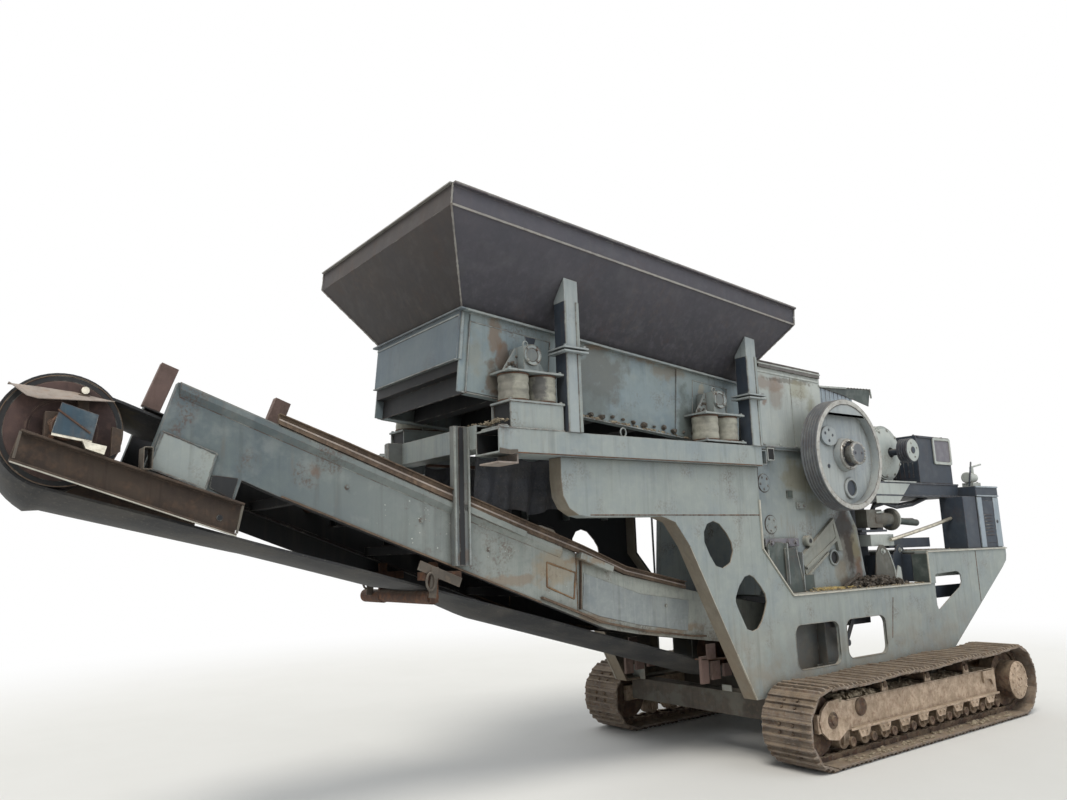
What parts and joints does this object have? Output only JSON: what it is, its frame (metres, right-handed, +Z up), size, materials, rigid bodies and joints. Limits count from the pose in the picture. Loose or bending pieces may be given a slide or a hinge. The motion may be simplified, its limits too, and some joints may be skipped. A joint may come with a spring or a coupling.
{
  "type": "tracked mobile jaw crusher",
  "caption": "Crawler-tracked mobile jaw crusher with tilted feed hopper, vibrating feeder on springs, flywheel crusher and long inclined discharge belt conveyor.",
  "frame": {"origin": "centre of the footprint of the whole machine, on the ground under the tracks", "axes": "+X runs along the machine from the discharge conveyor to the rear platform, +Y across it to the far side, +Z up"},
  "size_m": [9.172, 2.5, 3.881],
  "materials": {
    "track_steel": "dusty brown cast steel",
    "paint": "weathered grey-green paint with rust and dust",
    "hopper_dark": "dark oxidised paint",
    "manganese": "cast manganese steel",
    "black_paint": "blue-black paint",
    "bare_steel": "worn bare steel",
    "rusty_steel": "rusted steel",
    "belt_rubber": "worn conveyor rubber"
  },
  "bodies": {
    "frame": {"track_chain_near": "track_steel", "track_chain_far": "track_steel", "track_frame_near": "track_steel", "track_frame_far": "track_steel", "track_wheels_near": "track_steel", "track_wheels_far": "track_steel", "track_cross_beams": "paint", "side_frame_near": "paint", "side_frame_far": "paint", "crusher_deck": "paint", "rear_platform": "paint", "rail_near": "paint", "rail_far": "paint", "upper_cross_beams": "paint", "hopper_posts": "paint", "hopper_side_near": "hopper_dark", "hopper_side_far": "hopper_dark", "hopper_front": "hopper_dark", "hopper_rear": "hopper_dark", "feeder_side_near": "paint", "feeder_side_far": "paint", "feeder_trough": "paint", "springs_near": "paint", "springs_far": "paint", "crusher_cheek_near": "paint", "crusher_cheek_far": "paint", "crusher_end_walls": "paint", "fixed_jaw": "manganese", "swing_jaw": "manganese", "crusher_inlet_box": "paint", "crusher_hood": "black_paint", "crusher_bearings": "paint", "toggle_gear": "rusty_steel", "drive_motor": "paint", "motor_beam": "black_paint", "cooler_box": "black_paint", "rear_cabinet": "black_paint", "conveyor_frame_near": "paint", "conveyor_frame_far": "paint", "conveyor_cross_ties": "rusty_steel", "conveyor_idlers": "rusty_steel", "conveyor_belt": "belt_rubber", "head_channels": "rusty_steel", "head_guard": "bare_steel", "tail_drum": "rusty_steel", "conveyor_brackets": "paint"},
    "crusher_rotor": {"crusher_shaft": "bare_steel", "flywheel_near": "paint", "flywheel_far": "paint"},
    "motor_rotor": {"motor_pulley": "bare_steel"},
    "head_pulley": {"head_drum": "rusty_steel"}
  },
  "joints": [
    {"name": "crusher_shaft_spin", "type": "hinge", "parent": "frame", "child": "crusher_rotor", "pos_m": [1.69, 0, 2.385], "axis": [0, 1, 0], "continuous": true},
    {"name": "motor_pulley_spin", "type": "hinge", "parent": "frame", "child": "motor_rotor", "pos_m": [2.961, 0, 2.495], "axis": [0, 1, 0], "continuous": true},
    {"name": "head_drum_spin", "type": "hinge", "parent": "frame", "child": "head_pulley", "pos_m": [-4.284, 0, 2.315], "axis": [0, 1, 0], "continuous": true}
  ]
}
